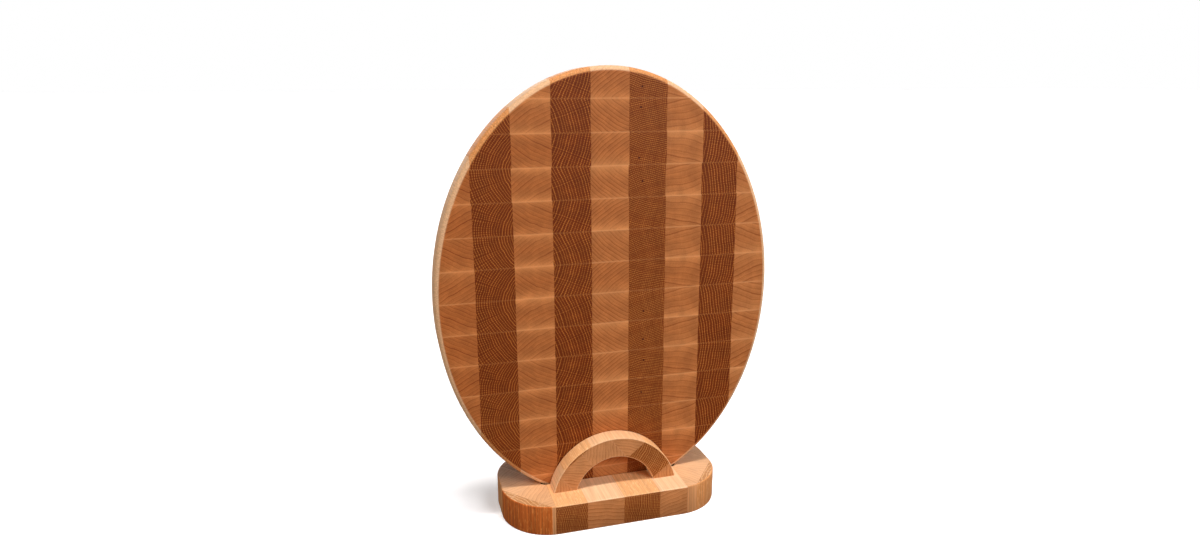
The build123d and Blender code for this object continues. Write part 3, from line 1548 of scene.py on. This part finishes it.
@dataclass(frozen=True)
class SoftLight:
    """A round soft light: its place and width in metres, its power in watts and its colour."""

    name: str
    place: tuple[float, float, float]
    width: float
    power: float
    colour: tuple[float, float, float]


@dataclass
class Studio:
    """Pale floor, soft light and the camera at the photograph's viewing angle.

    Attributes:
        camera_roll: Turn about the line of sight, in radians.
        floor_half: Half the floor's width in metres.
        floor_colour: Colour that the camera sees.
        floor_lift: Light that the floor adds of its own, for the camera alone.
        floor_bounce: Colour that lights the object from below.
        key_slopes: Sideways slope of each sun in the row that makes the long lamp overhead.
        key_lean: Their common slope to the front or the rear.
        key_strength: Strength of the whole row.
        key_blur: Width of each sun in degrees.
        ambient: Strength of the even light from all round.
        light_target: What the soft lights face, in metres.
    """

    camera_place: tuple[float, float, float] = (-170.5, -572.1, 341.8)
    camera_target: tuple[float, float, float] = (-4.86, 0.0, 193.65)
    camera_roll: float = -0.00204
    camera_lens: float = 22.93
    camera_sensor: float = 36.0
    camera_reach: float = 500.0
    floor_half: float = 60.0
    floor_colour: Colour = srgb(250, 251, 255)
    floor_lift: float = 0.3
    floor_bounce: Colour = srgb(112, 104, 98)
    floor_roughness: float = 0.9
    key_slopes: tuple[float, ...] = (-0.36, -0.22, -0.08, 0.06, 0.2, 0.34, 0.48)
    key_lean: float = -0.13
    key_strength: float = 2.95
    key_colour: tuple[float, float, float] = (1.0, 0.965, 0.925)
    key_blur: float = 6.0
    back_slope: tuple[float, float, float] = (0.2, 0.95, 0.02)
    back_strength: float = 0.8
    back_blur: float = 40.0
    soft_lights: tuple[SoftLight, ...] = (
        SoftLight("front_fill", (0.72, -1.35, 1.15), 1.0, 22.5, (1.0, 0.96, 0.93)),
        SoftLight("left_fill", (-1.4, -0.75, 0.1), 0.9, 11.0, (1.0, 0.95, 0.9)),
        SoftLight("right_sheen", (0.75, -1.35, 0.65), 0.4, 1.6, (0.66, 0.72, 1.0)),
    )
    light_target: tuple[float, float, float] = (0.0, 0.0, 0.15)
    ambient: float = 0.03
    ambient_colour: Colour = srgb(255, 226, 204)
    white: Colour = (1.0, 1.0, 1.0, 1.0)

    def build(self) -> None:
        """Build floor, lights, world and camera."""
        self.build_floor()
        self.build_lights()
        self.build_world()
        self.build_camera()
        bpy.context.scene.view_settings.view_transform = "Standard"

    def build_floor(self) -> None:
        """A plain pale floor."""
        mesh = bmesh.new()
        bmesh.ops.create_grid(mesh, x_segments=1, y_segments=1, size=self.floor_half)
        data = bpy.data.meshes.new("floor")
        mesh.to_mesh(data)
        mesh.free()
        material = bpy.data.materials.new("pale_floor")
        material.use_nodes = True
        shader = material.node_tree.nodes["Principled BSDF"].inputs
        shader["Roughness"].default_value = self.floor_roughness
        shader["Specular IOR Level"].default_value = 0.0
        shader["Emission Color"].default_value = self.white
        w = Wiring(material.node_tree)
        seen = w.node("ShaderNodeLightPath").outputs["Is Camera Ray"]
        w.feed(shader["Base Color"], w.mix(seen, self.floor_bounce, self.floor_colour))
        w.feed(shader["Emission Strength"], w.times(seen, self.floor_lift))
        data.materials.append(material)
        floor = bpy.data.objects.new("floor", data)
        bpy.context.scene.collection.objects.link(floor)

    def build_lights(self) -> None:
        """A long lamp overhead, as a row of suns, and soft lights in front and at the sides."""
        strength = self.key_strength / len(self.key_slopes)
        for number, slope in enumerate(self.key_slopes):
            way = Vector((slope, self.key_lean, 1.0))
            self.add_sun(f"key_{number}", way, strength, self.key_blur).color = self.key_colour
        self.add_sun("back_fill", Vector(self.back_slope), self.back_strength, self.back_blur)
        for soft in self.soft_lights:
            light = bpy.data.lights.new(soft.name, "AREA")
            light.shape = "DISK"
            light.size = soft.width
            light.energy = soft.power
            light.color = soft.colour
            lamp = bpy.data.objects.new(soft.name, light)
            self.aim(lamp, Vector(soft.place), Vector(self.light_target))

    def add_sun(self, name: str, way: Vector, strength: float, blur: float) -> bpy.types.Light:
        """Add a sun that shines towards the middle.

        Args:
            name: Its name.
            way: Direction that it shines from.
            strength: Its strength.
            blur: Its width in degrees.

        Returns:
            The light.
        """
        sun = bpy.data.lights.new(name, "SUN")
        sun.energy = strength
        sun.angle = math.radians(blur)
        self.aim(bpy.data.objects.new(name, sun), way, Vector())
        return sun

    def aim(self, item: bpy.types.Object, place: Vector, target: Vector) -> None:
        """Put a light or camera somewhere.

        Args:
            item: The light or camera.
            place: Where it goes.
            target: What it faces.
        """
        bpy.context.scene.collection.objects.link(item)
        item.location = place
        item.rotation_euler = (target - place).to_track_quat("-Z", "Y").to_euler()

    def build_world(self) -> None:
        """White behind the object and an even, dimmer light from all round."""
        world = bpy.data.worlds.new("studio")
        bpy.context.scene.world = world
        world.use_nodes = True
        world.node_tree.nodes.clear()
        w = Wiring(world.node_tree)
        path = w.node("ShaderNodeLightPath").outputs
        seen = w.math("MAXIMUM", path["Is Camera Ray"], path["Is Glossy Ray"])
        seen = w.math("MAXIMUM", seen, path["Is Transmission Ray"])
        background = w.node("ShaderNodeBackground")
        w.feed(background.inputs["Color"], w.mix(seen, self.ambient_colour, self.white))
        strength = w.plus(self.ambient, w.times(seen, 1.0 - self.ambient))
        w.feed(background.inputs["Strength"], strength)
        output = w.node("ShaderNodeOutputWorld")
        w.feed(output.inputs["Surface"], background.outputs["Background"])

    def build_camera(self) -> None:
        """The camera, where the photograph was taken from."""
        data = bpy.data.cameras.new("camera")
        data.sensor_width = self.camera_sensor
        data.lens = self.camera_lens
        data.clip_end = self.camera_reach
        camera = bpy.data.objects.new("camera", data)
        place, target = Vector(self.camera_place) * MM, Vector(self.camera_target) * MM
        self.aim(camera, place, target)
        turn = (target - place).to_track_quat("-Z", "Y") @ Quaternion(UP, self.camera_roll)
        camera.rotation_euler = turn.to_euler()
        bpy.context.scene.camera = camera


def main() -> None:
    """Build the part and its studio."""
    logging.basicConfig(level=logging.INFO, format="%(name)s: %(message)s")
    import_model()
    groups = WoodGroups()
    materials = {Species.BEECH: BEECH.material(groups), Species.OAK: OAK.material(groups)}
    Board().build(Joinery("board", materials))
    stand = Joinery("stand", materials)
    Base().build(stand)
    Arch("front_arch", 1).build(stand)
    Arch("rear_arch", -1).build(stand)
    Dowels().build(stand)
    Studio().build()


if __name__ == "__main__":
    main()
